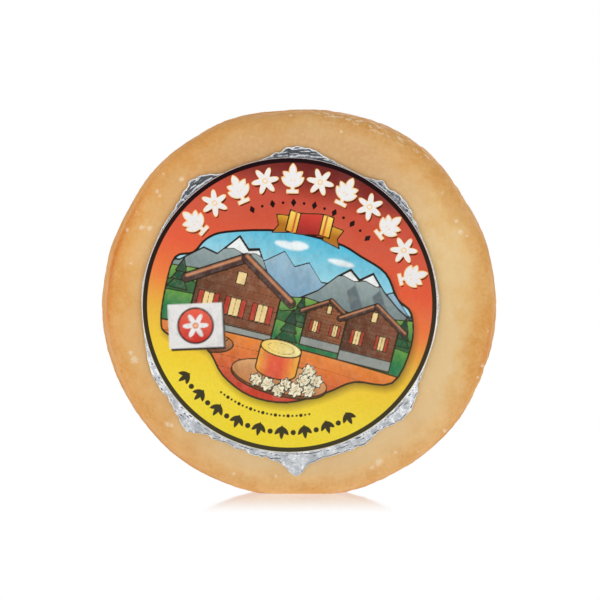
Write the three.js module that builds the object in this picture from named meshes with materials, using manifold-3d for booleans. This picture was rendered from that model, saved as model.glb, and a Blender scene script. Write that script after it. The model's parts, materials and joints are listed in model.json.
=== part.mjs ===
// A small whole cheese wheel stood on its rim, with a round paper label stuck over a torn piece of foil wrapper.
// Frame: millimetres, +Z up. The wheel's axis lies along Y, the labelled face looks towards -Y, and the origin is
// the centre of the footprint, on the surface that the wheel stands on.
//
//   cheese_body  one piece of cheese: two flat faces, soft shoulders, a bulging wall and a flat that it rests on
//   foil_sheet   the torn remains of the wrapper, caught between the label and the face
//   face_label   the round paper label

import * as THREE from "three";
import { mergeVertices } from "three/addons/utils/BufferGeometryUtils.js";
import Module from "manifold-3d";

const wasm = await Module();
wasm.setup();

// ---- Driving dimensions, in millimetres and degrees ----
const WHEEL_RADIUS = 57.5; // at the middle of the bulging wall
const WHEEL_DEPTH = 80; // from the labelled face to the back face
const AXIS_HEIGHT = 55.8; // less than the radius, because the rim has settled flat under its own weight
const FACE_FLAT_RADIUS = 46; // each face is flat out to here
const WALL_EDGE_RADIUS = 56.1; // where a shoulder meets the wall
const SHOULDER_DEPTH = 7; // how far a shoulder reaches back from its face
const RING_SEGMENTS = 96;
const SHOULDER_STEPS = 8;
const WALL_STEPS = 8;

// Shallow flats pressed into the round outline: direction seen from the front, depth, and half width.
const OUTLINE_FLATS = [
  { angle: 91, depth: 1.2, spread: 15 },
  { angle: 31, depth: 0.65, spread: 10 },
  { angle: 151, depth: 0.6, spread: 13 },
];

const SHEET_THICKNESS = 0.3; // foil and label alike
const SHEET_GAP = 0.3; // the crumpled foil holds the label off the face, and the face off the foil
const LABEL_RADIUS = 42.8;
const LABEL_SEGMENTS = 96;
const LABEL_CENTRE = { x: -3, z: AXIS_HEIGHT - 0.5 }; // stuck on a little off centre

// The foil's torn edge, as [direction seen from the front, reach past the label's edge].
const FOIL_TEARS = [
  [0, 0.6], [14, 0.3], [28, 0.4], [34, 1.1], [44, 2.4], [49, 1.5], [53, 2.4], [57, 0.7], [68, 0.3],
  [77, 1.6], [82, 3.0], [88, 3.3], [93, 2.0], [99, 0.5], [118, 0.3], [123, 2.3], [128, 3.5], [133, 2.2],
  [139, 0.9], [150, 0.4], [172, 0.3], [194, 0.5], [204, 1.7], [211, 2.1], [217, 1.6], [224, 2.9],
  [231, 4.3], [236, 2.4], [245, 1.5], [256, 1.8], [264, 2.6], [268, 3.8], [272, 7.0], [276, 4.6],
  [280, 3.1], [298, 3.1], [305, 2.2], [315, 3.9], [323, 3.1], [328, 1.4], [335, 0.4], [348, 0.3],
];
const FOIL_EDGE_STEPS = 160;

const STACK_DEPTH = 2 * (SHEET_GAP + SHEET_THICKNESS); // the foil and the label, each on its gap
const BACK_Y = (WHEEL_DEPTH + STACK_DEPTH) / 2;
const FACE_Y = BACK_Y - WHEEL_DEPTH;

// ---- Materials ----
const rind = new THREE.MeshStandardMaterial({ color: 0xd9a565, roughness: 0.55, metalness: 0 });
const foil = new THREE.MeshStandardMaterial({ color: 0xc4c8cc, roughness: 0.28, metalness: 1 });
const paper = new THREE.MeshStandardMaterial({ color: 0xe0622f, roughness: 0.45, metalness: 0 });

// ---- Small tools ----
const turnOf = (degrees) => THREE.MathUtils.degToRad(degrees);

// A closed three.js geometry as a manifold-3d solid.
function solidOf(geometry) {
  const bare = geometry.clone();
  bare.deleteAttribute("normal");
  bare.deleteAttribute("uv");
  const merged = mergeVertices(bare, 1e-3);
  const mesh = new wasm.Mesh({
    numProp: 3,
    vertProperties: merged.attributes.position.array,
    triVerts: new Uint32Array(merged.index.array),
  });
  return new wasm.Manifold(mesh);
}

// A manifold-3d solid as a three.js geometry.
function geometryOf(solid) {
  const mesh = solid.getMesh();
  const geometry = new THREE.BufferGeometry();
  geometry.setAttribute("position", new THREE.BufferAttribute(mesh.vertProperties, 3));
  geometry.setIndex(new THREE.BufferAttribute(mesh.triVerts, 1));
  geometry.computeVertexNormals();
  return geometry;
}

function namedMesh(name, geometry, material) {
  const mesh = new THREE.Mesh(geometry, material);
  mesh.name = name;
  return mesh;
}

// ---- Cheese ----

// Half of the wheel's section, from the centre of the front face round the wall to the centre of the back face.
function sectionPoints() {
  const front = -WHEEL_DEPTH / 2;
  const shoulderReach = WALL_EDGE_RADIUS - FACE_FLAT_RADIUS;
  const bulgeControl = 2 * WHEEL_RADIUS - WALL_EDGE_RADIUS;
  const shoulder = new THREE.CubicBezierCurve(
    new THREE.Vector2(FACE_FLAT_RADIUS, front),
    new THREE.Vector2(FACE_FLAT_RADIUS + 0.72 * shoulderReach, front),
    new THREE.Vector2(WALL_EDGE_RADIUS - 0.06 * shoulderReach, front + 0.3 * SHOULDER_DEPTH),
    new THREE.Vector2(WALL_EDGE_RADIUS, front + SHOULDER_DEPTH),
  ).getPoints(SHOULDER_STEPS);
  const wall = new THREE.QuadraticBezierCurve(
    new THREE.Vector2(WALL_EDGE_RADIUS, front + SHOULDER_DEPTH),
    new THREE.Vector2(bulgeControl, 0),
    new THREE.Vector2(WALL_EDGE_RADIUS, -front - SHOULDER_DEPTH),
  ).getPoints(WALL_STEPS);
  const backShoulder = shoulder.map((p) => new THREE.Vector2(p.x, -p.y)).reverse();
  return [
    new THREE.Vector2(0, front),
    ...shoulder,
    ...wall.slice(1, -1),
    ...backShoulder,
    new THREE.Vector2(0, -front),
  ];
}

// The outline's radius in one direction, as a share of the wheel's radius.
function outlineShare(turn) {
  let radius = WHEEL_RADIUS;
  for (const flat of OUTLINE_FLATS) {
    const away = Math.atan2(Math.sin(turn - turnOf(flat.angle)), Math.cos(turn - turnOf(flat.angle)));
    radius -= flat.depth * Math.exp(-((away / turnOf(flat.spread)) ** 2));
  }
  return radius / WHEEL_RADIUS;
}

// The section turned round the wheel's axis, pressed to its outline, then cut flat where it stands.
function cheeseGeometry() {
  const wheel = new THREE.LatheGeometry(sectionPoints(), RING_SEGMENTS);
  const place = wheel.attributes.position;
  for (let i = 0; i < place.count; i++) {
    const share = outlineShare(Math.atan2(place.getZ(i), place.getX(i)));
    place.setXYZ(i, place.getX(i) * share, place.getY(i), place.getZ(i) * share);
  }
  wheel.translate(0, FACE_Y + WHEEL_DEPTH / 2, AXIS_HEIGHT);
  const slabHeight = 20;
  const ground = new THREE.BoxGeometry(4 * WHEEL_RADIUS, 4 * WHEEL_DEPTH, slabHeight);
  ground.translate(0, 0, -slabHeight / 2);
  return geometryOf(solidOf(wheel).subtract(solidOf(ground)));
}

// ---- Foil ----

// A smooth closed line through the tears, drawn in the plane of the face.
function foilGeometry() {
  const corners = FOIL_TEARS.map(([angle, reach]) => {
    const radius = LABEL_RADIUS + reach;
    return new THREE.Vector3(radius * Math.cos(turnOf(angle)), radius * Math.sin(turnOf(angle)), 0);
  });
  const edge = new THREE.CatmullRomCurve3(corners, true, "centripetal").getSpacedPoints(FOIL_EDGE_STEPS);
  const outline = new THREE.Shape(edge.slice(0, -1).map((p) => new THREE.Vector2(p.x, p.y)));
  const sheet = new THREE.ExtrudeGeometry(outline, { depth: SHEET_THICKNESS, bevelEnabled: false });
  sheet.translate(0, 0, -SHEET_THICKNESS / 2);
  sheet.rotateX(turnOf(90));
  return sheet;
}

// ---- Assembly ----
const group = new THREE.Group();
group.add(namedMesh("cheese_body", cheeseGeometry(), rind));

const foilSheet = namedMesh("foil_sheet", foilGeometry(), foil);
foilSheet.position.set(LABEL_CENTRE.x, FACE_Y - SHEET_GAP - SHEET_THICKNESS / 2, LABEL_CENTRE.z);
group.add(foilSheet);

const labelDisc = new THREE.CylinderGeometry(LABEL_RADIUS, LABEL_RADIUS, SHEET_THICKNESS, LABEL_SEGMENTS);
const faceLabel = namedMesh("face_label", labelDisc, paper);
faceLabel.position.set(LABEL_CENTRE.x, FACE_Y - STACK_DEPTH + SHEET_THICKNESS / 2, LABEL_CENTRE.z);
group.add(faceLabel);

export default group;
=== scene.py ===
import json
import math

import bpy
import numpy as np
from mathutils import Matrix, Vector


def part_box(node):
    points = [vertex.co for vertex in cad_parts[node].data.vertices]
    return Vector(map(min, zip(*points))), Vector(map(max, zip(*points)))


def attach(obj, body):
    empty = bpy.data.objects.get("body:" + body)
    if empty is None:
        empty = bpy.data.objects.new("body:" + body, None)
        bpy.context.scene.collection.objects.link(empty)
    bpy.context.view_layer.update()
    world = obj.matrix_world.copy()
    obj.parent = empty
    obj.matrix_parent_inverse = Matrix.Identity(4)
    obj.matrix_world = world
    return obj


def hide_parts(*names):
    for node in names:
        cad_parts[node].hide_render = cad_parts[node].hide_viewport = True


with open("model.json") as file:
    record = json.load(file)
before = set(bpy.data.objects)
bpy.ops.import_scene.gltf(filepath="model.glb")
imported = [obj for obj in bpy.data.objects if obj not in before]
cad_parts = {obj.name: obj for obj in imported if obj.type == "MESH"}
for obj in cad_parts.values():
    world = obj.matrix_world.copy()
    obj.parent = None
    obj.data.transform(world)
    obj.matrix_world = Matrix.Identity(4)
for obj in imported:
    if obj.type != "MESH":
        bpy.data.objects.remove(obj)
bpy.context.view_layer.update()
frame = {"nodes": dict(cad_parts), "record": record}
scene = bpy.context.scene
mm = 0.001

# the wheel as the CAD frame gives it
cheeseLow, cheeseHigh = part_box("cheese_body")
backMount = next(m for m in frame["record"]["mounts"] if m["name"] == "back_face")
wheel = {
    "radius": (cheeseHigh.x - cheeseLow.x) / 2 - 0.32 * mm,  # room for the bulges
    "frontY": cheeseLow.y,
    "backY": cheeseHigh.y,
    "axisHeight": backMount["pos_m"][2],
    "flatShare": 0.8,  # radius of each face's flat, as a share of the wheel's
    "edgeShare": 0.99,  # where the rounded shoulder meets the wall
    "shoulder": 6 * mm,  # depth of the shoulder
    # where the outline sinks, or bulges where the depth is below 0: (degrees, depth in mm, spread in degrees)
    "slumps": ((93, 1.65, 17), (31, 0.65, 9), (153, 0.85, 15), (121, 0.65, 12), (174, 0.2, 9),
               (74, 0.35, 7), (50, -0.5, 9), (324, -0.55, 26), (232, -0.25, 14)),
}
print("frame read: wheel of radius", round(wheel["radius"] / mm, 1), "mm")

shot = {
    "azimuth": -0.57,  # degrees; the eye stands a little to the left
    "elevation": 0.4,
    "distance": 7.0,
    "width": 175.1 * mm,  # what the picture takes in at the wheel's middle
    "across": 0.4 * mm,  # aim, from the wheel's axis
    "up": 0.22 * mm,
    "sensor": 36,
    "clip": (0.1, 50),
}


def makeCamera():
    target = Vector((shot["across"], 0, wheel["axisHeight"] + shot["up"]))
    a, e = math.radians(shot["azimuth"]), math.radians(shot["elevation"])
    eye = Vector((math.sin(a) * math.cos(e), -math.cos(a) * math.cos(e), math.sin(e)))
    data = bpy.data.cameras.new("productCamera")
    data.sensor_width = shot["sensor"]
    data.lens = data.sensor_width * shot["distance"] / shot["width"]
    data.clip_start, data.clip_end = shot["clip"]
    camera = bpy.data.objects.new("productCamera", data)
    camera.location = target + eye * shot["distance"]
    camera.rotation_euler = (-eye).to_track_quat("-Z", "Y").to_euler()
    scene.collection.objects.link(camera)
    scene.camera = camera


makeCamera()


# small helpers for node trees
def fillIn(tree, node, inputs):
    # a socket is linked, anything else is set as the value
    for name, value in inputs.items():
        if isinstance(value, bpy.types.NodeSocket):
            tree.links.new(value, node.inputs[name])
        else:
            node.inputs[name].default_value = value


def addNode(tree, kind, inputs=None, **settings):
    node = tree.nodes.new("ShaderNode" + kind)
    for name, value in settings.items():
        setattr(node, name, value)
    fillIn(tree, node, inputs or {})
    return node


def maths(tree, operation, a, b):
    return addNode(tree, "Math", {0: a, 1: b}, operation=operation).outputs[0]


def times(tree, a, b):
    return maths(tree, "MULTIPLY", a, b)


def mixInk(tree, factor, under, over):
    return addNode(tree, "Mix", {0: factor, 6: under, 7: over}, data_type="RGBA").outputs[2]


def tint(tree, colour, mask, strength, rgb):
    # colour (1 - strength mask) + rgb strength mask
    return mixInk(tree, times(tree, mask, strength), colour, ink(rgb))


def stretch(tree, value, low, high, toLow=0.0, toHigh=1.0):
    # smoothstep(low, high, value), from toLow to toHigh
    inputs = {0: value, 1: low, 2: high, 3: toLow, 4: toHigh}
    return addNode(tree, "MapRange", inputs, interpolation_type="SMOOTHSTEP").outputs[0]


def fieldOf(tree, name, output="Fac"):
    return addNode(tree, "Attribute", attribute_name=name).outputs[output]


def placeOf(tree):
    return addNode(tree, "TexCoord").outputs["Object"]


def bumpOf(tree, height, distance, strength):
    return addNode(tree, "Bump", {"Height": height, "Distance": distance, "Strength": strength}).outputs[0]


def colourRamp(tree, value, stops):
    node = addNode(tree, "ValToRGB", {0: value})
    ramp = node.color_ramp
    while len(ramp.elements) < len(stops):
        ramp.elements.new(0.5)
    for element, (place, rgb) in zip(ramp.elements, stops):
        element.position, element.color = place, ink(rgb)
    return node.outputs[0]


def linear(rgb):
    c = np.array(rgb, float) / 255
    return np.where(c < 0.04045, c / 12.92, ((c + 0.055) / 1.055) ** 2.4)


def ink(rgb):
    return (*linear(rgb), 1.0)


def newMaterial(name):
    material = bpy.data.materials.new(name)
    material.use_nodes = True
    return material, material.node_tree, material.node_tree.nodes["Principled BSDF"]


def mottleGroup():
    # blotches: mask = smoothstep(low, high, noise(scale * squash * p))
    group = bpy.data.node_groups.new("mottle", "ShaderNodeTree")
    usual = {"Scale": 100.0, "Detail": 4.0, "Low": 0.4, "High": 0.6, "Squash": (1, 1, 1)}
    for name, value in usual.items():
        kind = "NodeSocketVector" if name == "Squash" else "NodeSocketFloat"
        group.interface.new_socket(name, in_out="INPUT", socket_type=kind).default_value = value
    group.interface.new_socket("Mask", in_out="OUTPUT", socket_type="NodeSocketFloat")
    given = group.nodes.new("NodeGroupInput")
    result = group.nodes.new("NodeGroupOutput")
    squash = {0: placeOf(group), 1: given.outputs["Squash"]}
    squashed = addNode(group, "VectorMath", squash, operation="MULTIPLY")
    noise = addNode(group, "TexNoise", {"Vector": squashed.outputs[0], "Scale": given.outputs["Scale"],
                                        "Detail": given.outputs["Detail"], "Roughness": 0.6})
    mask = stretch(group, noise.outputs["Fac"], given.outputs["Low"], given.outputs["High"])
    group.links.new(mask, result.inputs["Mask"])
    return group


mottleTree = mottleGroup()


def mottle(tree, scale, detail, low, high, squash=(1, 1, 1)):
    inputs = {"Scale": scale, "Detail": detail, "Low": low, "High": high, "Squash": squash}
    return addNode(tree, "Group", inputs, node_tree=mottleTree).outputs["Mask"]


# numpy helpers for shapes
def waveField(points, size, seed, waves=28):
    # smooth random relief of about unit height:
    # h = sqrt(2 / n) sum cos(k_i . p + phase_i), |k_i| near 2 pi / size
    rng = np.random.default_rng(seed)
    way = rng.normal(size=(waves, 3))
    way /= np.linalg.norm(way, axis=1)[:, None]
    way *= 2 * np.pi / size * rng.uniform(0.6, 1.4, waves)[:, None]
    phase = rng.uniform(0, 2 * np.pi, waves)
    return np.sqrt(2 / waves) * np.cos(points @ way.T + phase).sum(1)


def creaseField(points, size, seed, waves=9):
    # sharp folds between flat facets: h = 1 - mean |sin(k_i . p + phase_i)|, scaled to 0..1
    rng = np.random.default_rng(seed)
    turn = rng.uniform(0, np.pi, waves)
    pitch = np.pi / (size * rng.uniform(0.7, 1.5, waves))
    way = np.stack([np.cos(turn), np.sin(turn)], 1) * pitch[:, None]
    phase = rng.uniform(0, np.pi, waves)
    folds = np.abs(np.sin(points @ way.T + phase)).mean(1)
    return (folds.max() - folds) / (folds.max() - folds.min())


def hump(x):
    # exp(-x^2)
    return np.exp(-(x**2))


def blend(low, high, x):
    # smoothstep: t^2 (3 - 2t), t = (x - low) / (high - low) held to 0..1
    t = np.clip((x - low) / (high - low), 0, 1)
    return t * t * (3 - 2 * t)


def makePiece(name, points, faces, fields, materials):
    mesh = bpy.data.meshes.new(name)
    mesh.from_pydata(points, [], faces)
    mesh.shade_smooth()
    for field, values in fields.items():
        if values.ndim == 2:
            layer = mesh.attributes.new(field, "FLOAT_COLOR", "POINT")
            rgba = np.concatenate([values, np.ones((len(values), 1))], 1)
            layer.data.foreach_set("color", rgba.astype(np.float32).ravel())
        else:
            layer = mesh.attributes.new(field, "FLOAT", "POINT")
            layer.data.foreach_set("value", values.astype(np.float32))
    for material in materials:
        mesh.materials.append(material)
    piece = bpy.data.objects.new(name, mesh)
    scene.collection.objects.link(piece)
    return piece


def ringFaces(rings, around, firstPole, lastPole):
    # quads between rings of points, triangles to the poles, outwards for rings that grow from the front pole
    i, j = np.meshgrid(np.arange(rings - 1), np.arange(around), indexing="ij")
    k = (j + 1) % around
    quads = np.stack([i * around + j, (i + 1) * around + j, (i + 1) * around + k, i * around + k], -1)
    j = np.arange(around)
    k = (j + 1) % around
    front = np.stack([np.full(around, firstPole), j, k], -1)
    last = (rings - 1) * around
    back = np.stack([last + j, np.full(around, lastPole), last + k], -1)
    return quads.reshape(-1, 4).tolist() + front.tolist() + back.tolist()


# the cheese
cheese = {
    "around": 500,  # points round the axis
    "undulation": 0.1 * mm,
    "lump": 0.06 * mm,
    "grain": 0.035 * mm,
    "frontRings": 60,  # rings of the section up to a little past the front shoulder
    "specks": 150,  # small pale crystals all over
    "flakeRange": (40, 88),  # where the rim has scaled, in degrees
    "flakeHeight": 0.13 * mm,
    "seed": 11,
    # marks in the rind: (angle in degrees, distance from the axis in mm, size in mm)
    "scars": ((134, 49.5, 0.8), (142.3, 52.5, 0.7), (142.9, 51.1, 0.6), (154.8, 50.8, 0.9),
              (154, 48.5, 0.9), (157.3, 54.4, 0.7), (199.4, 50.9, 1.3), (196.8, 51.4, 0.8),
              (222.6, 52.4, 0.9), (224, 51.8, 0.7), (23.4, 50.8, 0.9), (27.2, 51.1, 0.7),
              (296.2, 52, 1.2), (293.5, 52.5, 0.8), (318.3, 56.4, 0.7), (340.7, 56.4, 0.6),
              (337, 56.2, 0.5), (351, 55.4, 0.5), (262, 51, 0.7), (249, 53.5, 0.6)),
    # nicks in the outline: (angle, depth in mm, length in degrees)
    "nicks": ((79, 0.3, 2.2), (66, 0.28, 3), (52, 0.45, 3.5), (45, 0.3, 2.5), (36.5, 0.4, 3),
              (30, 0.25, 2), (-12, 0.25, 1.5), (-20, 0.35, 2), (-27, 0.2, 1.5), (121, 0.2, 2)),
}


def turnFrom(at, degrees):
    # the way round from one angle to another, -180..180
    return (degrees - at + 180) % 360 - 180


def outlineShare(angle):
    # 1 - sum depth exp(-(turn / spread)^2) / radius
    share = np.ones_like(angle)
    for at, depth, spread in wheel["slumps"]:
        share -= depth * mm / wheel["radius"] * hump(turnFrom(at, np.degrees(angle)) / spread)
    return share


def cheeseSection():
    # half outline of the wheel, (distance from the axis, y): the flat face, a shoulder (cubic Bezier),
    # the bulging wall (quadratic Bezier), the same shoulder and the back's flat
    flat, edge = wheel["flatShare"] * wheel["radius"], wheel["edgeShare"] * wheel["radius"]
    front, back, deep = wheel["frontY"], wheel["backY"], wheel["shoulder"]
    hidden = np.linspace(0.12, 0.9, 7) * flat
    face = np.linspace(0.92, 1, 9)[:-1] * flat
    t = np.linspace(0, 1, 36)[:, None]
    wide = edge - flat
    corners = np.array([(flat, front), (flat + 0.72 * wide, front), (edge - 0.06 * wide, front + 0.3 * deep),
                        (edge, front + deep)])
    shoulder = (1 - t) ** 3 * corners[0] + 3 * (1 - t) ** 2 * t * corners[1]
    shoulder += 3 * (1 - t) * t * t * corners[2] + t**3 * corners[3]
    s = np.linspace(0, 1, 66)[1:-1, None]
    bulge = np.array([2 * wheel["radius"] - edge, (front + back) / 2])
    wall = (1 - s) ** 2 * corners[3] + 2 * (1 - s) * s * bulge + s * s * np.array([edge, back - deep])
    behind = shoulder[::-1] * (1, -1) + (0, front + back)
    backFace = np.linspace(1, 0.03, 40)[1:] * flat
    frontFace = np.append(hidden, face)
    return np.concatenate([np.stack([frontFace, np.full(len(frontFace), front)], 1), shoulder, wall, behind,
                           np.stack([backFace, np.full(len(backFace), back)], 1)])


def makeCheese(material):
    section = cheeseSection()
    rings, around = len(section), cheese["around"]
    angle = np.arange(around) * 2 * np.pi / around
    radius = section[:, :1] * outlineShare(angle)
    depth = np.repeat(section[:, 1:], around, 1)
    # the section's outward normal, from its slope
    run = np.gradient(section, axis=0)
    normal = np.stack([run[:, 1], -run[:, 0]], 1) / np.linalg.norm(run, axis=1)[:, None]
    theta = np.broadcast_to(angle, radius.shape)
    degrees = np.degrees(theta)
    outward = section[:, :1] / wheel["radius"]  # 0 on the axis, 1 at the wall
    behindFace = section[:, 1:] - wheel["frontY"]
    frontRows = np.arange(rings)[:, None] < rings / 2
    points = np.stack([radius * np.cos(theta), depth, radius * np.sin(theta)], -1).reshape(-1, 3)

    # swells, lumps and grain
    relief = np.zeros(len(points))
    for name, size, seed, waves in (("undulation", 26, 1, 28), ("lump", 8, 2, 28), ("grain", 2.6, 3, 60)):
        relief += cheese[name] * waveField(points, size * mm, seed, waves)
    relief = relief.reshape(radius.shape)
    rim = hump((behindFace - 3.4 * mm) / (2.2 * mm)) * blend(0.86, 0.95, outward)

    # scaled skin along the rim: thin plates with broken edges
    first, last = cheese["flakeRange"]
    zone = blend(first, first + 14, degrees) * (1 - blend(last - 4, last, degrees)) * rim
    spread = np.stack([0.6 * theta * wheel["radius"], 1.7 * radius, 1.7 * depth], -1).reshape(-1, 3)
    plates = waveField(spread, 2.6 * mm, 5, 40) + 0.7 * waveField(spread, 1.1 * mm, 6, 40)
    plates = plates.reshape(radius.shape)
    flakes = blend(0.35, 0.75, plates) * zone
    relief += cheese["flakeHeight"] * (flakes - 0.5 * blend(0.2, -0.6, plates) * zone)

    # pits and pale crystals: random ones all over, and the named scars on the face
    rng = np.random.default_rng(cheese["seed"])
    bloom = np.zeros_like(relief)
    for at, away, size in cheese["scars"]:
        off = np.hypot(radius - away * mm, radius * np.radians(turnFrom(at, degrees))) / (size * mm)
        spot = hump(off) * frontRows
        relief -= 0.16 * mm * size * spot
        bloom = np.maximum(bloom, spot)
    for place in points[rng.integers(0, len(points), cheese["specks"])]:
        size = rng.uniform(0.35, 0.9) * mm
        spot = hump(np.linalg.norm(points - place, axis=1) / size).reshape(relief.shape)
        relief -= 0.1 * mm * spot
        bloom = np.maximum(bloom, rng.uniform(0.3, 0.9) * spot)
    nicked = np.maximum(rim, 0.8 * (np.abs(section[:, 1:]) < 34 * mm)) * blend(0.9, 0.97, outward)
    for at, deep, length in cheese["nicks"]:
        # a step down on one side that heals along the rim
        along = turnFrom(at, degrees)
        step = np.where(along > 0, np.exp(-along / length), np.exp(along / 0.5))
        relief -= deep * mm * step * nicked

    out = radius + relief * normal[:, :1]
    y = depth + relief * normal[:, 1:]
    # the face stays behind the foil
    flatFront = frontRows * (1 - blend(0.86, 0.93, outward))
    y = y * (1 - flatFront) + (wheel["frontY"] + 0.1 * mm + np.maximum(y - depth, 0) * 0.5) * flatFront
    x, z = out * np.cos(theta), wheel["axisHeight"] + out * np.sin(theta)
    z = np.maximum(z, 0)
    grid = np.stack([x, y, z], -1).reshape(-1, 3)
    poles = [(0, wheel["frontY"] + 0.1 * mm, wheel["axisHeight"]), (0, wheel["backY"], wheel["axisHeight"])]
    points = np.concatenate([grid, poles])

    # where the colours lie: towards the darker corner, wavering along the rim, down the wall, to the left,
    # and the painted shade on the top and painted light at the foot
    reach = radius / wheel["radius"]
    waver = 0.016 * waveField(points[:-2], 22 * mm, 8).reshape(reach.shape)
    corner = blend(0.8, 1.0, reach + waver)
    wall = blend(wheel["frontY"] + 3 * mm, wheel["frontY"] + 8 * mm, y)
    wall = wall * (1 - 0.5 * blend(wheel["backY"] - 9 * mm, wheel["backY"], y))
    line = hump((behindFace - 3.6 * mm) / (1.3 * mm)) * frontRows
    line = line * (hump((degrees - 167) / 25) + 0.6 * hump((degrees - 346) / 11))
    low = blend(0.2, 0.9, -np.sin(theta))
    leftward = blend(0.05, 0.75, -np.cos(theta)) * blend(0.1, 0.75, reach) * (1 - 0.6 * low)
    inward = (1 - 0.75 * corner) * frontRows
    # painted shade over the top of the face and painted light over its foot
    paintedTopShade, paintedFootLight = blend(0.3, 1.0, np.sin(theta)) * inward, low * inward
    fields = {"corner": corner, "wall": wall, "cornerLine": line, "leftward": leftward, "paintedTopShade": paintedTopShade,
              "paintedFootLight": paintedFootLight, "bloom": bloom, "flakes": flakes}
    fields = {name: np.append(values.ravel(), (0.0, 0.0)) for name, values in fields.items()}
    faces = ringFaces(rings, around, len(points) - 2, len(points) - 1)
    return makePiece("cheese", points, faces, fields, [material])


rindLook = {
    # from the pale middle of the face to the darker rim
    "ramp": ((0.0, (228, 197, 143)), (0.3, (226, 187, 125)), (0.6, (220, 171, 103)), (0.85, (217, 162, 90)),
             (1.0, (212, 154, 78))),
    # warmer to the left, painted shade that darkens the top, painted light that brightens the foot: (field,
    # strength, colour)
    "tints": (("leftward", 0.4, (224, 150, 64)), ("paintedTopShade", 0.62, (188, 132, 80)),
              ("paintedFootLight", 0.5, (238, 200, 150))),
    "line": (202, 112, 24),
    "wall": ((196, 132, 66), (212, 154, 88)),
    "grain": (240, 214, 170),
    "bloom": (238, 220, 190),
    "freckle": (196, 138, 74),
    "streak": (214, 168, 108),
    "roughness": (0.52, 0.72),
    "gloss": (0.2, 0.02),  # on the face, on the wall
    "bump": 0.1 * mm,
    "subsurface": 0.15,
    "subsurfaceDepth": 2.5 * mm,
}


def rindMaterial():
    material, tree, shader = newMaterial("cheeseRind")
    broad = mottle(tree, 55.0, 3.0, 0.35, 0.65)
    blotch = mottle(tree, 210.0, 5.0, 0.35, 0.68)
    speck = mottle(tree, 900.0, 3.0, 0.4, 0.72)
    fine = mottle(tree, 1700.0, 2.0, 0.3, 0.62)
    tone = fieldOf(tree, "corner")
    for patch, strength in ((blotch, 0.3), (broad, 0.28)):
        tone = maths(tree, "ADD", tone, times(tree, maths(tree, "SUBTRACT", patch, 0.5), strength))
    colour = colourRamp(tree, tone, rindLook["ramp"])
    # tints: warmer to the left, then painted shade on the top and painted light at the foot
    for field, strength, rgb in rindLook["tints"]:
        colour = tint(tree, colour, fieldOf(tree, field), strength, rgb)
    low, high = rindLook["wall"]
    smear = mottle(tree, 130.0, 6.0, 0.32, 0.7, squash=(1.0, 0.75, 1.0))
    colour = mixInk(tree, fieldOf(tree, "wall"), colour, colourRamp(tree, smear, ((0.0, low), (1.0, high))))
    colour = tint(tree, colour, fieldOf(tree, "cornerLine"), 0.96, rindLook["line"])
    colour = tint(tree, colour, speck, 0.14, rindLook["grain"])
    freckle = mottle(tree, 1300.0, 2.0, 0.52, 0.66)
    freckle = times(tree, freckle, stretch(tree, tone, 0.35, 0.95, 0.0, 0.3))
    colour = mixInk(tree, freckle, colour, ink(rindLook["freckle"]))
    streak = mottle(tree, 75.0, 4.0, 0.45, 0.7, squash=(1.0, 1.0, 0.5))
    colour = tint(tree, colour, streak, 0.22, rindLook["streak"])
    # pale crystals and scaled skin, broken up by the fine noise
    pale = maths(tree, "MAXIMUM", fieldOf(tree, "bloom"), fieldOf(tree, "flakes"))
    broken = maths(tree, "ADD", times(tree, fine, 0.6), 0.6)
    pale = stretch(tree, times(tree, pale, broken), 0.25, 0.8)
    colour = tint(tree, colour, pale, 0.55, rindLook["bloom"])
    height = times(tree, blotch, 0.5)
    for layer, share in ((speck, 0.35), (fine, 0.15)):
        height = maths(tree, "ADD", height, times(tree, layer, share))
    fillIn(tree, shader, {
        "Base Color": colour,
        "Roughness": stretch(tree, blotch, 0.0, 1.0, *rindLook["roughness"]),
        "Specular IOR Level": stretch(tree, fieldOf(tree, "wall"), 0.0, 1.0, *rindLook["gloss"]),
        "Normal": bumpOf(tree, height, rindLook["bump"], 0.6),
        "Subsurface Weight": rindLook["subsurface"],
        "Subsurface Radius": (1.0, 0.5, 0.25),
        "Subsurface Scale": rindLook["subsurfaceDepth"],
    })
    return material


cheesePiece = makeCheese(rindMaterial())
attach(cheesePiece, "root")
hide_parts("cheese_body")
print("cheese made:", len(cheesePiece.data.polygons), "faces")

# the label and the foil, about the label's own centre
labelLow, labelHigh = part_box("face_label")
labelDrop = 0.45 * mm  # the paper was stuck on a little low
label = {
    "x": (labelLow.x + labelHigh.x) / 2,
    "z": (labelLow.z + labelHigh.z) / 2 - labelDrop,
    "radius": (labelHigh.x - labelLow.x) / 2,
    "frontY": labelLow.y,
    "thickness": 0.14 * mm,
    "tilt": 14,  # degrees clockwise
    "steps": 276,  # squares across the printed face
    "wave": 0.05 * mm,
    "curl": 0.16 * mm,
    "backRings": 14,
    "mapReach": 0.485,  # the print's share of the bake map, and the plain paper's place and share
    "plainPlace": 0.085,
    "plainReach": (0.079, 0.07),
}
foil = {
    "around": 1100,
    "bandSteps": 26,  # rings over the strip that shows
    "thickness": 0.06 * mm,
    "crumple": 0.75 * mm,
    "jag": 0.16 * mm,
    "under": 0.42 * mm,  # behind the label's face
    "bright": (216, 218, 220),
    "dull": (176, 180, 185),
    # painted shade: the foil's colour darkens towards the top, standing in for the dark ceiling it reflects
    "paintedCeilingShade": (132, 136, 142),  # towards the top
    # painted highlight: the pale colour along the torn rim
    "torn": (232, 232, 230),
    "roughness": (0.16, 0.32),
}


def foilEdge(angle):
    # distance of the torn edge from the label's centre, read off the CAD sheet's own outline
    mesh = frame["nodes"]["foil_sheet"].data
    co = np.empty(len(mesh.vertices) * 3)
    mesh.vertices.foreach_get("co", co)
    x, _, z = co.reshape(-1, 3).T
    across, up = x - label["x"], z - labelDrop - label["z"]
    turn, reach = np.arctan2(up, across), np.hypot(across, up)
    order = np.argsort(turn)
    return np.interp(angle, turn[order], reach[order], period=2 * np.pi)


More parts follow.
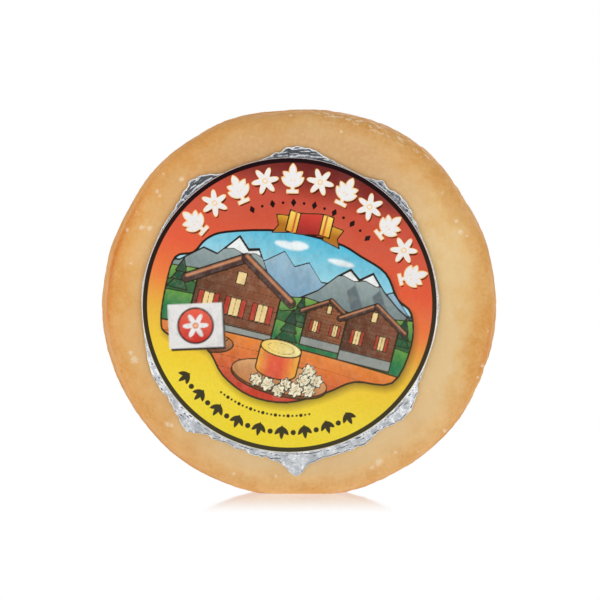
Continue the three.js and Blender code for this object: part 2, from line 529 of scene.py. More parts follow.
def faceDepth(x, z):
    # y of the cheese's front at (x, z), from its section
    section = cheeseSection()[:cheese["frontRings"]]
    angle = np.arctan2(z - wheel["axisHeight"], x)
    away = np.hypot(x, z - wheel["axisHeight"]) / outlineShare(angle)
    return np.interp(away, section[:, 0], section[:, 1])


def makeFoil(material):
    around = foil["around"]
    angle = np.arange(around) * 2 * np.pi / around - np.pi
    edge = foilEdge(angle)
    ring = np.stack([np.cos(angle), np.zeros(around), np.sin(angle)], 1) * label["radius"]
    jagged = blend(0.2 * mm, 1.5 * mm, edge - label["radius"])
    edge = edge + foil["jag"] * waveField(ring, 2.4 * mm, 21, 40) * jagged
    start = label["radius"] * 0.985
    inner = np.array([0.1, 0.4, 0.7, 0.9]) * start
    share = np.linspace(0, 1, foil["bandSteps"])[:, None]
    away = np.concatenate([np.repeat(inner[:, None], around, 1), start + share * (edge - start)])
    theta = np.broadcast_to(angle, away.shape)
    x, z = label["x"] + away * np.cos(theta), label["z"] + away * np.sin(theta)
    flat = np.stack([x, z], -1).reshape(-1, 2)
    # broad folds, a few creases running outwards and fine ones that follow the label's rim
    along = np.stack([theta * label["radius"], away], -1).reshape(-1, 2)
    folds = (0.36 * creaseField(flat, 4.0 * mm, 31) + 0.26 * creaseField(along * (1, 0.35), 1.5 * mm, 32)
             + 0.38 * creaseField(along * (0.22, 1), 0.9 * mm, 33)).reshape(away.shape)
    # pressed flat beneath the paper, then sloping back to a lip that stands off the cheese
    under = label["frontY"] + foil["under"]
    free = blend(0.1 * mm, 0.9 * mm, away - label["radius"])
    slope = np.clip((away - label["radius"]) / np.maximum(edge - label["radius"], 2.2 * mm), 0, 1)
    lip = blend(0.5 * mm, 0, edge - away) * 0.22 * mm * free
    rest = faceDepth(x, z) - 0.1 * mm
    front = under + (rest - under) * slope - lip - (folds - 0.25) * foil["crumple"] * free
    front = np.minimum(front, rest)
    rings = len(away)
    outer = np.stack([x, front, z], -1)
    inside = np.stack([x, front + foil["thickness"], z], -1)[::-1]
    grid = np.concatenate([outer, inside]).reshape(-1, 3)
    poles = [(label["x"], under + back, label["z"]) for back in (0, foil["thickness"])]
    points = np.concatenate([grid, poles])
    faces = ringFaces(2 * rings, around, len(points) - 2, len(points) - 1)
    # the torn rim is painted pale and less metallic: a painted highlight along its edge
    torn = np.broadcast_to(blend(0.34 * mm, 0.1 * mm, edge - away), away.shape)
    torn = np.concatenate([torn.ravel(), torn[::-1].ravel(), (0.0, 0.0)])
    return makePiece("foil_remnant", points, faces, {"torn": torn}, [material])


def foilMaterial():
    material, tree, shader = newMaterial("tornFoil")
    dull = mottle(tree, 420.0, 5.0, 0.38, 0.64)
    colour = mixInk(tree, dull, ink(foil["bright"]), ink(foil["dull"]))
    # painted shade: darker towards the top, for the dark ceiling the foil reflects
    height = addNode(tree, "SeparateXYZ", {0: placeOf(tree)}).outputs["Z"]
    reach = 0.6 * label["radius"]
    above = stretch(tree, height, label["z"] - reach, label["z"] + reach, 0.0, 0.55)
    colour = mixInk(tree, above, colour, ink(foil["paintedCeilingShade"]))
    # painted highlight along the torn rim: paler and less metallic
    torn = fieldOf(tree, "torn")
    wrinkle = mottle(tree, 900.0, 2.0, 0.2, 0.8)
    fillIn(tree, shader, {
        "Base Color": mixInk(tree, torn, colour, ink(foil["torn"])),
        "Roughness": stretch(tree, dull, 0.0, 1.0, *foil["roughness"]),
        "Metallic": stretch(tree, torn, 0.0, 1.0, 1.0, 0.3),
        "Normal": bumpOf(tree, wrinkle, 0.12 * mm, 0.5),
    })
    return material


foilPiece = makeFoil(foilMaterial())
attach(foilPiece, "root")
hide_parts("foil_sheet")
print("foil made:", len(foilPiece.data.polygons), "faces")

# the print on the label: places are in label radii, u to the right and v up on the tilted label
printing = {
    "line": 0.0058,  # half the width of a drawn line
    "thinLine": 0.004,
    "bleed": 0.0035,  # how far a colour softens at its edge
    # from the foot to the top
    "gradient": ((-1.0, (247, 221, 54)), (-0.68, (248, 221, 60)), (-0.45, (245, 206, 58)),
                 (-0.25, (236, 184, 64)), (0.0, (236, 126, 66)), (0.25, (228, 94, 60)),
                 (0.5, (208, 86, 60)), (0.7, (196, 76, 56)), (0.83, (134, 46, 38)), (1.0, (92, 24, 26))),
    "lineInk": ((70, 64, 44), (26, 6, 10)),
    "motifs": 11,  # sprigs and blossoms over the picture
    "motifStep": 12.6,
    "shadow": (0.011, -0.013),
    "shadowInk": (70, 22, 16),
    "rimInk": (246, 205, 140),
    "motifInk": (236, 233, 232),
    # brushwork inside the picture: (scale, strength, colour)
    "brushes": ((380.0, 0.17, (38, 28, 24)), (800.0, 0.07, (244, 226, 196))),
    "softness": 0.0022,  # of the inks laid by the material, in label radii
    "gloss": 0.05,
}


# distances to shapes, negative inside
def meet(*distances):
    # where all the shapes overlap: the largest of the distances
    return np.maximum.reduce(distances)


def join(*distances):
    # all the shapes together: the smallest of the distances
    return np.minimum.reduce(distances)


def discDistance(u, v, centre, radius):
    # |p - c| - r
    return np.hypot(u - centre[0], v - centre[1]) - radius


def ovalDistance(u, v, centre, halfWidth, halfHeight):
    # k (k - 1) / g, with k = |p / size| and g = |p / size^2|
    p, q = u - centre[0], v - centre[1]
    k = np.hypot(p / halfWidth, q / halfHeight)
    g = np.hypot(p / halfWidth**2, q / halfHeight**2)
    return k * (k - 1) / np.maximum(g, 1e-6)


def boxDistance(u, v, centre, halfWidth, halfHeight):
    # max(|u - c| - w, |v - c| - h)
    return meet(np.abs(u - centre[0]) - halfWidth, np.abs(v - centre[1]) - halfHeight)


def strokeDistance(u, v, start, end, halfWidth):
    # |p - a - t (b - a)| - w, t the nearest place along the stroke
    eu, ev = end[0] - start[0], end[1] - start[1]
    t = np.clip(((u - start[0]) * eu + (v - start[1]) * ev) / (eu * eu + ev * ev), 0, 1)
    return np.hypot(u - start[0] - t * eu, v - start[1] - t * ev) - halfWidth


def leafDistance(u, v, halfLength, halfWidth):
    # the overlap of two equal discs that meet at (0, +-halfLength)
    radius = (halfLength**2 + halfWidth**2) / (2 * halfWidth)
    return np.hypot(np.abs(u) + radius - halfWidth, v) - radius


def polygonDistance(u, v, corners):
    # distance to the nearest edge, negative where a ray to the right crosses an odd number of edges
    corners = np.array(corners, float)
    nearest = np.full(u.shape, np.inf)
    inside = np.zeros(u.shape, bool)
    for (a, b), (c, d) in zip(corners, np.roll(corners, -1, axis=0)):
        nearest = np.minimum(nearest, strokeDistance(u, v, (a, b), (c, d), 0))
        if b != d:
            inside ^= ((b > v) != (d > v)) & (u < a + (v - b) * (c - a) / (d - b))
    return np.where(inside, -nearest, nearest)


def turned(u, v, angle):
    # the same places seen from axes turned by the angle
    a = math.radians(angle)
    return u * math.cos(a) + v * math.sin(a), v * math.cos(a) - u * math.sin(a)


def smoothCorners(points, steps=4):
    # closed Catmull-Rom: (2b + (c - a)t + (2a - 5b + 4c - d)t^2 + (3b - a - 3c + d)t^3) / 2
    b = np.array(points, float)
    a, b, c, d = (x[:, None] for x in (np.roll(b, 1, 0), b, np.roll(b, -1, 0), np.roll(b, -2, 0)))
    t = (np.arange(steps) / steps)[None, :, None]
    curve = (2 * b + (c - a) * t + (2 * a - 5 * b + 4 * c - d) * t**2 + (3 * b - a - 3 * c + d) * t**3) / 2
    return curve.reshape(-1, 2)


def shade(low, high, share):
    # a colour for every place, from low to high
    share = np.clip(share, 0, 1)[:, None]
    return linear(low) * (1 - share) + linear(high) * share


def lay(sheet, distance, colour, outline=0.0, soft=None, strength=1.0):
    # a flat of colour over what is there: new = old (1 - cover) + colour cover; it hides the lines beneath
    cover = np.clip(0.5 - distance / (2 * (soft or printing["bleed"])), 0, 1)[:, None] * strength
    flat = colour if np.ndim(colour) == 2 else linear(colour)
    sheet["colour"] = sheet["colour"] * (1 - cover) + flat * cover
    if soft is None:
        sheet["lines"] = np.maximum(sheet["lines"], -distance)
    if outline:
        draw(sheet, np.abs(distance) - outline)


def draw(sheet, distance):
    sheet["lines"] = np.minimum(sheet["lines"], distance)


def drawGradient(sheet):
    v = sheet["v"]
    stops = [at for at, _ in printing["gradient"]]
    inks = np.array([linear(rgb) for _, rgb in printing["gradient"]])
    sheet["colour"] = np.stack([np.interp(v, stops, channel) for channel in inks.T], 1)


def drawFir(sheet, at, foot, height, clip):
    # three boughs, each smaller and higher
    u, v = sheet["u"] - at, sheet["v"] - foot
    for k in range(3):
        half, low, high = height * (0.3 - 0.07 * k), height * (0.12 + 0.24 * k), height * (0.58 + 0.21 * k)
        bough = polygonDistance(u, v, ((-half, low), (half, low), (0, high)))
        lay(sheet, meet(bough, clip), (38, 92 - 8 * k, 58), printing["thinLine"])


def drawChalet(sheet, at, foot, width, wall, timber, windows, clip):
    u, v = sheet["u"] - at, sheet["v"] - foot
    line, thin = printing["line"], printing["thinLine"]
    half, top = width / 2, wall + width * 0.31
    timber, pane = np.array(timber), (243, 214, 150)
    # the gable, its planks and its stone foot
    front = polygonDistance(u, v, ((-half, 0), (half, 0), (half, wall), (0, top), (-half, wall)))
    lit = 0.5 + 0.8 * u / width + 0.35 * (v / top - 0.5)
    lay(sheet, meet(front, clip), shade(timber * 0.72, timber * 1.22, lit), line)
    plank = width * 0.085
    seam = plank * np.abs((v / plank + 0.5) % 1 - 0.5) - thin * 0.5
    draw(sheet, meet(seam, front + thin, clip))
    stone = boxDistance(u, v, (0, wall * 0.12), half, wall * 0.12)
    lay(sheet, meet(stone, clip), (150, 155, 150), thin)
    paneHalf, paneHigh = width * 0.062, wall * 0.17
    for k in range(windows):
        c = (k - (windows - 1) / 2) * width / (windows + 0.1)
        for side in (-1, 1):
            shutter = boxDistance(u, v, (c + side * paneHalf * 1.5, wall * 0.6), paneHalf * 0.5, paneHigh)
            lay(sheet, meet(shutter, clip), (186, 62, 48), thin * 0.8)
        window = meet(boxDistance(u, v, (c, wall * 0.6), paneHalf, paneHigh), clip)
        lay(sheet, window, pane, thin)
        draw(sheet, meet(np.abs(u - c) - thin * 0.6, window))
    attic = boxDistance(u, v, (0, wall * 1.16), width * 0.055, wall * 0.12)
    lay(sheet, meet(attic, clip), pane, thin)
    # two roof boards, lit along the top
    thick, reach, rise = width * 0.055, half + width * 0.13, (top - wall) / half
    ridge = (0, top + thick * 0.6)
    for side in (-1, 1):
        eave = (side * reach, ridge[1] - rise * reach)
        lay(sheet, meet(strokeDistance(u, v, ridge, eave, thick), clip), (74, 52, 50), thin)
        edge = strokeDistance(u, v - thick * 0.45, ridge, eave, thick * 0.3)
        lay(sheet, meet(edge, clip), (198, 132, 92))


def drawShaving(sheet, at, size, turn, clip):
    # a frilled round, r = size (1 + 0.16 cos 7a + 0.06 cos(3a + 1)), with two folds inside
    u, v = turned(sheet["u"] - at[0], sheet["v"] - at[1], turn)
    thin = printing["thinLine"]
    r, a = np.hypot(u, v), np.arctan2(v, u)
    edge = size * (1 + 0.16 * np.cos(7 * a) + 0.06 * np.cos(3 * a + 1))
    lit = shade((214, 186, 120), (252, 244, 214), 0.35 + 0.9 * r / size)
    lay(sheet, meet((r - edge) * 0.9, clip), lit, thin)
    for share in (0.62, 0.3):
        frill = np.abs(r - edge * share * (1 + 0.1 * np.sin(7 * a + 3 * share))) - thin * 0.6
        gap = -np.cos(a * 2 + 9 * share) * size * 0.3 - size * 0.12
        draw(sheet, meet(frill, gap, clip))


scenery = {
    # the picture's outline, clockwise from its left shoulder
    "outline": ((-0.83, 0.13), (-0.72, 0.19), (-0.655, 0.3), (-0.53, 0.38), (-0.17, 0.475), (0.2, 0.485),
                (0.39, 0.435), (0.58, 0.365), (0.7, 0.215), (0.815, 0.14), (0.865, -0.08), (0.8, -0.345),
                (0.55, -0.4), (0.385, -0.515), (0.14, -0.645), (-0.115, -0.66), (-0.325, -0.57),
                (-0.48, -0.42), (-0.75, -0.39), (-0.82, -0.31), (-0.845, -0.06)),
    "clouds": (((-0.1, 0.39), 0.1, 0.024), ((-0.03, 0.41), 0.06, 0.024), ((0.27, 0.36), 0.09, 0.02)),
    # crests, from left to right
    "farRange": ((-1, 0.02), (-0.72, 0.1), (-0.5, 0.2), (-0.3, 0.2), (-0.12, 0.345), (-0.03, 0.26),
                 (0.06, 0.31), (0.17, 0.2), (0.36, 0.22), (0.5, 0.16), (0.66, 0.25), (0.8, 0.12), (1, 0.05)),
    "nearRange": ((-1, 0.1), (-0.8, 0.12), (-0.66, 0.24), (-0.56, 0.22), (-0.44, 0.375), (-0.36, 0.3),
                  (-0.29, 0.32), (-0.15, 0.1), (0.02, 0.04), (0.16, 0.14), (0.27, 0.27), (0.345, 0.335),
                  (0.42, 0.28), (0.5, 0.345), (0.6, 0.24), (0.72, 0.15), (1, 0)),
    # shaded slopes: (peak, foot, lean)
    "facets": (((-0.44, 0.375), (-0.3, 0.02), 0.3), ((0.5, 0.345), (0.62, 0.02), 0.22),
               ((0.345, 0.335), (0.42, 0.05), 0.17)),
    "snowLine": 0.27,
    # (crest, colour at the crest, colour below)
    "meadows": (
        (((-1, 0.06), (-0.6, 0.1), (-0.2, 0.02), (0.1, 0.075), (0.5, 0.04), (1, 0.12)),
         (120, 168, 78), (70, 132, 66)),
        (((-1, -0.02), (-0.5, 0.0), (-0.1, -0.05), (0.3, -0.01), (0.7, -0.06), (1, -0.02)),
         (58, 112, 62), (40, 86, 56)),
        (((-1, -0.1), (-0.4, -0.07), (0.1, -0.13), (0.6, -0.09), (1, -0.14)), (98, 158, 70), (36, 122, 74)),
    ),
    "firs": ((-0.77, -0.1, 0.24), (0.08, -0.12, 0.2), (0.79, -0.12, 0.22)),  # (across, foot, height)
    # (across, foot, width, wall height, timber, windows)
    "chalets": ((0.27, -0.24, 0.29, 0.235, (134, 82, 54), 2), (0.58, -0.28, 0.36, 0.29, (114, 68, 48), 2),
                (-0.36, -0.32, 0.58, 0.36, (122, 74, 50), 3)),
    "frontFir": (0.035, -0.27, 0.25),
    "tableEdge": -0.275,
    # (place, size, turn)
    "shavings": (((0.235, -0.405), 0.042, 10), ((0.295, -0.46), 0.045, 60), ((0.215, -0.48), 0.046, 130),
                 ((0.265, -0.535), 0.043, 200), ((0.175, -0.55), 0.047, 20), ((0.1, -0.53), 0.04, 90),
                 ((0.065, -0.58), 0.042, 300), ((-0.02, -0.555), 0.045, 160), ((-0.1, -0.545), 0.04, 45)),
}


def heightOf(crest, u):
    return np.interp(u, *np.transpose(crest))


def drawPicture(sheet):
    # a dairy village in the mountains, with a table and a plain cheese in front
    u, v = sheet["u"], sheet["v"]
    line, thin = printing["line"], printing["thinLine"]
    outline = smoothCorners(scenery["outline"])
    lay(sheet, polygonDistance(u - 0.022, v + 0.026, outline), (84, 60, 34), soft=0.035, strength=0.8)
    clip = polygonDistance(u, v, outline)
    lay(sheet, clip, shade((176, 224, 232), (58, 182, 214), (v - 0.08) / 0.42), line * 1.35)
    for cloud in scenery["clouds"]:
        lay(sheet, meet(ovalDistance(u, v, *cloud), clip), (240, 247, 247), soft=0.008, strength=0.95)
    # each crest's height is divided by its usual steepness, to make a distance
    far = (v - heightOf(scenery["farRange"], u)) / 1.22
    lay(sheet, meet(far, clip), shade((92, 138, 176), (150, 186, 205), (v + 0.1) / 0.35), thin)
    near = (v - heightOf(scenery["nearRange"], u)) / 1.41
    stone = shade((104, 122, 124), (158, 174, 172), (v + 0.05) / 0.42)
    lay(sheet, meet(near, clip), stone, line * 0.8)
    within = meet(near + line, clip)
    for (a, b), (c, d), lean in scenery["facets"]:
        middle = (a + c) / 2
        corners = ((a, b), (a + lean, d), (c, d), (middle - 0.03, b * 0.55), (middle + 0.015, b * 0.72))
        facet = meet(polygonDistance(u, v, corners), within)
        lay(sheet, facet, (92, 106, 112), soft=0.006, strength=0.9)
    snowLine = scenery["snowLine"] + 0.022 * (np.abs((u * 13) % 2 - 1) - 0.5)
    lay(sheet, meet(within, snowLine - v), (240, 243, 241), thin)
    for k, (crest, high, low) in enumerate(scenery["meadows"]):
        top = heightOf(crest, u) + 0.006 * np.sin(u * 63 + 1) * (k == 1)
        lay(sheet, meet((v - top) / 1.04, clip), shade(low, high, 1 + (v - top) / 0.12), thin)
    for fir in scenery["firs"]:
        drawFir(sheet, *fir, clip)
    for chalet in scenery["chalets"]:
        drawChalet(sheet, *chalet, clip)
    drawFir(sheet, *scenery["frontFir"], clip)
    drawTable(sheet, clip)
    return clip


def drawTable(sheet, clip):
    u, v = sheet["u"], sheet["v"]
    line, thin = printing["line"] * 0.8, printing["thinLine"]
    table = v - scenery["tableEdge"] + 0.035 * u * u
    wood = shade((206, 70, 50), (238, 142, 62), 0.95 + table / 0.34)
    lay(sheet, meet(table, clip), wood, printing["line"] * 0.9)
    for k in range(1, 4):
        draw(sheet, meet(np.abs(table + 0.085 * k + 0.02 * u * k) - thin * 0.5, table, clip))
    # a loaf with three cuts
    lu, lv = turned(u + 0.44, v + 0.375, 8)
    loaf = meet(ovalDistance(lu, lv, (0, 0), 0.135, 0.062), clip)
    lay(sheet, loaf, shade((122, 66, 42), (212, 142, 84), 0.5 + lv / 0.1), line)
    for k in (-1, 0, 1):
        cut = strokeDistance(lu, lv, (k * 0.065 - 0.02, -0.012), (k * 0.065 + 0.03, 0.034), thin)
        draw(sheet, meet(cut, loaf))
    # the board
    board = ((0.05, -0.495), 0.33, 0.105)
    lay(sheet, ovalDistance(u, v + 0.017, *board), (122, 68, 46), line)
    lay(sheet, ovalDistance(u, v, *board), shade((196, 120, 70), (226, 170, 112), (v + 0.6) / 0.2), thin)
    # the cheese on it: wall, then the cut top
    half, bulge, foot, top = 0.14, 0.055, -0.455, -0.3
    middle = (0.015, top)
    wall = boxDistance(u, v, (middle[0], (foot + top) / 2), half, (top - foot) / 2)
    wall = join(wall, ovalDistance(u, v, (middle[0], foot), half, bulge))
    lay(sheet, wall, shade((246, 168, 62), (232, 92, 62), 1.05 - ((u - 0.01) / 0.12) ** 2), line)
    cutTop = shade((246, 206, 96), (252, 236, 160), 0.5 + u / 0.25)
    lay(sheet, ovalDistance(u, v, middle, half, bulge), cutTop, line)
    draw(sheet, np.abs(ovalDistance(u, v, middle, 0.09, 0.034)) - thin * 0.5)
    for shaving in scenery["shavings"]:
        drawShaving(sheet, *shaving, clip)


def drawRibbon(sheet):
    # a striped bow across the top of the picture
    u, v = sheet["u"], sheet["v"] - 0.565
    thin = printing["thinLine"]
    corners = ((0.11, -0.085), (0.235, -0.115), (0.205, -0.055), (0.235, 0.012), (0.11, 0.03))
    for side in (-1, 1):
        tail = polygonDistance(u * side, v, corners)
        lay(sheet, tail, shade((176, 110, 26), (246, 190, 60), 0.4 + v / 0.1), thin)
    band = meet(np.abs(u) - 0.15, np.abs(v - 0.014 * np.sin(u * 17)) - 0.072)
    lay(sheet, band, shade((226, 150, 36), (252, 214, 96), 0.6 + v / 0.16), printing["line"] * 0.8)
    lay(sheet, meet(np.abs(u) - 0.076, band), shade((150, 34, 32), (206, 58, 46), 0.6 + v / 0.14), thin)
    lay(sheet, meet(np.abs(np.abs(u) - 0.104) - 0.006, band), (186, 74, 40))


def drawCard(sheet):
    # a white card with a blossom on a red round, and its shadow
    u, v = turned(sheet["u"] + 0.585, sheet["v"] + 0.29, 16.5)
    centre = (0, 0)
    for place, colour in (((0.014, -0.016), (34, 26, 22)), (centre, (233, 231, 228))):
        lay(sheet, boxDistance(u, v, place, 0.184, 0.15), colour)
    lay(sheet, discDistance(u, v, centre, 0.125), (40, 30, 28))
    lay(sheet, discDistance(u, v, centre, 0.113), shade((206, 58, 46), (236, 96, 74), 0.5 + v / 0.2))
    lay(sheet, blossomDistance(u, v), (240, 238, 235))
    lay(sheet, discDistance(u, v, centre, 0.011), (250, 196, 110))


def onRing(u, v, angle, radius):
    # axes that stand upright on a ring, the angle clockwise from the top
    u, v = turned(u, v, -angle)
    return u, v - radius


def sprigDistance(u, v):
    # a stalk with five leaves, on a foot
    stalk = strokeDistance(u, v, (0, -0.088), (0, 0.03), 0.007)
    motif = join(stalk, leafDistance(u, v - 0.052, 0.046, 0.021))
    for side in (-1, 1):
        for height, size in ((-0.045, 0.048), (0.0, 0.042)):
            p, q = turned(u - side * size * 0.72, v - height - size * 0.42, -side * 52)
            motif = join(motif, leafDistance(p, q, size, size * 0.42))
    return join(motif, boxDistance(u, v, (0, -0.088), 0.036, 0.008))


def blossomDistance(u, v):
    # six petals, r = 0.061 + 0.026 cos 6a, round an open eye
    r, a = np.hypot(u, v), np.arctan2(v, u)
    petals = (r - 0.061 - 0.026 * np.cos(6 * a)) * 0.8
    return join(np.maximum(petals, 0.02 - r), r - 0.011)


def garlandDistance(u, v):
    nearest = np.full(u.shape, 1.0)
    for k in range(printing["motifs"]):
        angle = (k - (printing["motifs"] - 1) / 2) * printing["motifStep"]
        motif = blossomDistance if k % 2 else sprigDistance
        nearest = join(nearest, motif(*onRing(u, v, angle, 0.858)))
    return nearest


def smallOrnaments(u, v):
    nearest = np.full(u.shape, 1.0)
    for k in range(-6, 7):  # lozenges and dots under the garland
        p, q = onRing(u, v, k * 5.9, 0.695)
        lozenge = (np.abs(p) / 0.019 + np.abs(q) / 0.03 - 1) * 0.016
        nearest = join(nearest, np.hypot(p, q) - 0.01 if k % 2 else lozenge)
    for k in range(-8, 9):  # leaf pairs and dots along the foot
        p, q = onRing(u, v, 180 + k * 5.2, 0.865)
        if k % 2:
            motif = np.hypot(p, q) - 0.018
        else:
            motif = leafDistance(p, q, 0.05, 0.016)
            for side in (-1, 1):
                leaf = turned(p - side * 0.022, q + 0.012, -side * 42)
                motif = join(motif, leafDistance(*leaf, 0.04, 0.015))
        nearest = join(nearest, motif)
    for k in range(-11, 12):  # small dots above them
        away = np.hypot(*onRing(u, v, 180 + k * 2.2, 0.752))
        nearest = join(nearest, away - (0.008 if k % 3 else 0.012))
    return nearest


def labelPrint(u, v):
    # every layer of the print at these places
    sheet = {"u": u, "v": v, "lines": np.full(u.shape, 1.0)}
    drawGradient(sheet)
    painted = blend(0.0, -0.02, drawPicture(sheet))
    drawRibbon(sheet)
    drawCard(sheet)
    draw(sheet, smallOrnaments(u, v))
    # the bare paper's edge and the dark ring within it
    away = np.hypot(u, v)
    lay(sheet, 0.9967 - away, (236, 236, 233))
    draw(sheet, np.abs(away - 0.9815) - 0.0152)
    du, dv = printing["shadow"]
    return {"printColour": sheet["colour"], "printLines": sheet["lines"], "painted": painted,
            "garland": garlandDistance(u, v), "garlandShadow": garlandDistance(u - du, v - dv)}


def paperDepth(p, q):
    # y of the paper's face: gentle waves, and a rim that curls towards the eye
    flat = np.stack([label["radius"] * p, np.zeros_like(p), label["radius"] * q], 1)
    wave = waveField(flat, 16 * mm, 41) + 0.25 * waveField(flat, 5 * mm, 42)
    lifted = np.clip(0.5 + 0.5 * waveField(flat, 30 * mm, 43), 0, 1.2)
    curl = label["curl"] * blend(0.9, 1.0, np.hypot(p, q)) * lifted
    return label["frontY"] + label["wave"] * wave - curl


def makeLabel(materials):
    # a square grid (a, b) bent onto the unit disc: p = a sqrt(1 - b^2 / 2), q = b sqrt(1 - a^2 / 2)
    steps = label["steps"]
    a, b = np.meshgrid(np.linspace(-1, 1, steps + 1), np.linspace(-1, 1, steps + 1), indexing="xy")
    p, q = (a * np.sqrt(1 - b * b / 2)).ravel(), (b * np.sqrt(1 - a * a / 2)).ravel()
    number = np.arange((steps + 1) ** 2).reshape(steps + 1, steps + 1)
    quads = np.stack([number[:-1, :-1], number[:-1, 1:], number[1:, 1:], number[1:, :-1]], -1).reshape(-1, 4)
    # the rim once round, anticlockwise from the front; the plain back is rings from there to the middle
    rim = np.concatenate([number[0, :-1], number[:-1, -1], number[-1, :0:-1], number[:0:-1, 0]])
    shares = np.linspace(1, 0.06, label["backRings"])[:, None]
    backP, backQ = np.append(shares * p[rim], 0.0), np.append(shares * q[rim], 0.0)
    y = np.concatenate([paperDepth(p, q), paperDepth(backP, backQ) + label["thickness"]])
    allP, allQ = np.concatenate([p, backP]), np.concatenate([q, backQ])
    points = np.stack([label["x"] + label["radius"] * allP, y, label["z"] + label["radius"] * allQ], 1)
    around, first = len(rim), len(p)
    k = np.arange(around)
    after = (k + 1) % around
    sides = np.stack([rim, first + k, first + after, rim[after]], -1)
    ring = first + around * np.arange(label["backRings"] - 1)[:, None]
    back = np.stack([ring + k, ring + around + k, ring + around + after, ring + after], -1).reshape(-1, 4)
    inner = first + around * (label["backRings"] - 1)
    cap = np.stack([inner + k, np.full(around, len(points) - 1), inner + after], -1)
    fields = labelPrint(*turned(p, q, -label["tilt"]))
    for name, values in fields.items():
        fields[name] = np.concatenate([values, np.ones((len(points) - first, *values.shape[1:]))])
    faces = [face for part in (quads, sides, back, cap) for face in part.tolist()]
    piece = makePiece("label", points, faces, fields, materials)
    slots = np.repeat((0, 1), (len(quads), len(faces) - len(quads)))
    piece.data.polygons.foreach_set("material_index", slots)
    layBakeMap(piece.data, np.stack([allP, allQ], 1), 4 * len(quads), first)
    return piece


def layBakeMap(mesh, disc, printedCorners, printedPoints):
    # the print fills the map, (u, v) = middle + reach (p, q); the plain sides and back share a corner of it
    vertex = np.empty(len(mesh.loops), np.int32)
    mesh.loops.foreach_get("vertex_index", vertex)
    plain = np.arange(len(vertex)) >= printedCorners
    middle = np.where(plain, label["plainPlace"], 0.5)[:, None]
    plainReach = np.where(vertex < printedPoints, *label["plainReach"])
    reach = np.where(plain, plainReach, label["mapReach"])[:, None]
    layer = mesh.uv_layers.new(name="OFBake")
    layer.data.foreach_set("uv", (middle + reach * disc[vertex]).astype(np.float32).ravel())


def printedMaterial():
    material, tree, shader = newMaterial("printedPaper")
    edge = printing["softness"]

    def printed(under, field, over, reach=0.0, strength=1.0):
        mask = stretch(tree, fieldOf(tree, field), reach + edge, reach - edge, 0.0, strength)
        return mixInk(tree, mask, under, over)

    colour = fieldOf(tree, "printColour", "Color")
    for scale, strength, rgb in printing["brushes"]:
        brush = mottle(tree, scale, 3.0, 0.42, 0.72, squash=(1.0, 1.0, 0.7))
        colour = tint(tree, colour, times(tree, brush, fieldOf(tree, "painted")), strength, rgb)
    # a faint unevenness of the ink
    cloudy = mottle(tree, 160.0, 3.0, 0.3, 0.7)
    colour = tint(tree, colour, cloudy, 0.02, (255, 240, 225))
    height = addNode(tree, "SeparateXYZ", {0: placeOf(tree)}).outputs["Z"]
    low, high = (ink(rgb) for rgb in printing["lineInk"])
    rise = stretch(tree, height, label["z"] - label["radius"], label["z"] + label["radius"])
    colour = printed(colour, "printLines", mixInk(tree, rise, low, high))
    colour = printed(colour, "garlandShadow", ink(printing["shadowInk"]), strength=0.9)
    colour = printed(colour, "garland", ink(printing["rimInk"]), reach=0.0065)
    colour = printed(colour, "garland", ink(printing["motifInk"]))
    # the screen's grain
    grain = mottle(tree, 2300.0, 2.0, 0.3, 0.7)
    colour = mixInk(tree, stretch(tree, grain, 0.0, 1.0, 0.06, 0.0), colour, ink((40, 20, 20)))
    fillIn(tree, shader, {
        "Base Color": colour,
        "Roughness": stretch(tree, grain, 0.0, 1.0, 0.42, 0.52),
        "Specular IOR Level": printing["gloss"],
        "Normal": bumpOf(tree, grain, 0.02 * mm, 0.4),
    })
    return material


def paperMaterial():
    material, tree, shader = newMaterial("paperBack")
    fibre = mottle(tree, 900.0, 4.0, 0.35, 0.65)
    pale = mixInk(tree, fibre, ink((238, 236, 230)), ink((218, 214, 204)))
    fillIn(tree, shader, {"Base Color": pale, "Roughness": 0.7})
    return material


labelPiece = makeLabel([printedMaterial(), paperMaterial()])
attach(labelPiece, "root")
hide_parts("face_label")
print("label made and printed:", len(labelPiece.data.polygons), "faces")

studio = {
    "floorSize": 30.0,
    "table": (1.01, 1.72),  # its brightness to the eye, and on the wheel
    "mirror": 0.53,  # how much of the reflection shows beside the wheel
    "mirrorReach": (0.07, 0.42),  # where it starts to fade and where it is gone, from the wheel's middle
    "mirrorBlur": 0.03,
    "horizon": (0.04, 0.45),  # heights of a ray between which the air dims
    "ceiling": (0.28, 0.285, 0.3, 1),
    "room": (30, 34, 42),  # the room behind the camera is darker
    "roomShade": 0.7,
    "roomWay": (-0.55, -0.95),  # ray directions between which it darkens, along y and z
    "roomRise": (0.0, 0.2),
    # (name, place, size, watts, seen in reflections)
    "softboxes": (
        ("leftBox", (-1.5, -1.4, 0.45), 1.6, 6.9, False),
        ("rightBox", (1.6, -1.3, 0.45), 1.6, 6.5, True),
        ("lowFill", (0.1, -2.2, 0.2), 0.4, 2.5, False),
        ("backBox", (0.6, 1.9, 1.0), 1.4, 12.0, True),
        ("leftRim", (-1.9, 0.5, 0.9), 1.0, 2.5, False),
        ("topRim", (-0.35, 0.1, 2.0), 1.0, 14.0, False),
    ),
}


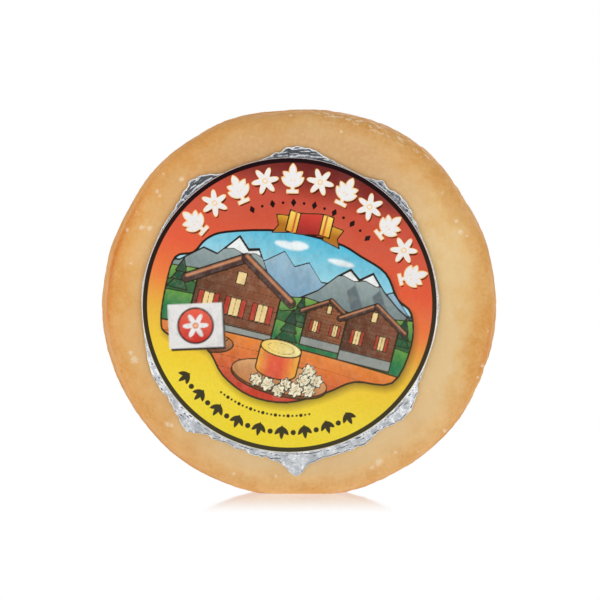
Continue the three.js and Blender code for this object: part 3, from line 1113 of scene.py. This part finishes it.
def makeStage():
    mesh = bpy.data.meshes.new("studioFloor")
    half = studio["floorSize"] / 2
    corners = [(-half, -half, 0), (half, -half, 0), (half, half, 0), (-half, half, 0)]
    mesh.from_pydata(corners, [], [(0, 1, 2, 3)])
    floor = bpy.data.objects.new("studioFloor", mesh)
    scene.collection.objects.link(floor)
    material, tree, shader = newMaterial("paleFloor")
    # a lit white table
    toEye, onWheel = studio["table"]
    seen = addNode(tree, "LightPath").outputs["Is Camera Ray"]
    glow = addNode(tree, "MapRange", {0: seen, 3: onWheel, 4: toEye}).outputs[0]
    fillIn(tree, shader, {"Base Color": (0, 0, 0, 1), "Roughness": 1.0, "Specular IOR Level": 0.0,
                          "Emission Color": (1, 1, 1, 1), "Emission Strength": glow})
    away = addNode(tree, "VectorMath", {0: placeOf(tree)}, operation="LENGTH").outputs["Value"]
    share = stretch(tree, away, *studio["mirrorReach"], studio["mirror"], 0.0)
    gloss = addNode(tree, "BsdfAnisotropic", {"Color": (1, 1, 1, 1), "Roughness": studio["mirrorBlur"]})
    mix = addNode(tree, "MixShader", {0: share, 1: shader.outputs[0], 2: gloss.outputs[0]})
    tree.links.new(mix.outputs[0], tree.nodes["Material Output"].inputs["Surface"])
    mesh.materials.append(material)


def makeWorld():
    world = bpy.data.worlds.new("studioAir")
    scene.world = world
    world.use_nodes = True
    tree = world.node_tree
    tree.nodes.clear()
    ray = addNode(tree, "SeparateXYZ", {0: addNode(tree, "TexCoord").outputs["Generated"]})
    air = mixInk(tree, stretch(tree, ray.outputs["Z"], *studio["horizon"]), (1, 1, 1, 1), studio["ceiling"])
    behind = stretch(tree, ray.outputs["Y"], *studio["roomWay"])
    front = times(tree, behind, stretch(tree, ray.outputs["Z"], *studio["roomRise"]))
    air = tint(tree, air, front, studio["roomShade"], studio["room"])
    seen = addNode(tree, "LightPath").outputs["Is Camera Ray"]
    background = addNode(tree, "Background", {"Color": mixInk(tree, seen, air, (1, 1, 1, 1))})
    result = addNode(tree, "OutputWorld")
    tree.links.new(background.outputs[0], result.inputs["Surface"])


def makeLights():
    aim = Vector((0, 0, wheel["axisHeight"]))
    for name, place, size, watts, mirrored in studio["softboxes"]:
        data = bpy.data.lights.new(name, "AREA")
        data.shape, data.size, data.energy = "SQUARE", size, watts
        lamp = bpy.data.objects.new(name, data)
        lamp.location = place
        lamp.rotation_euler = (aim - Vector(place)).to_track_quat("-Z", "Y").to_euler()
        lamp.visible_glossy = mirrored
        lamp.visible_camera = False
        scene.collection.objects.link(lamp)


makeStage()
makeWorld()
makeLights()
scene.view_settings.view_transform = "Standard"
print("studio set")
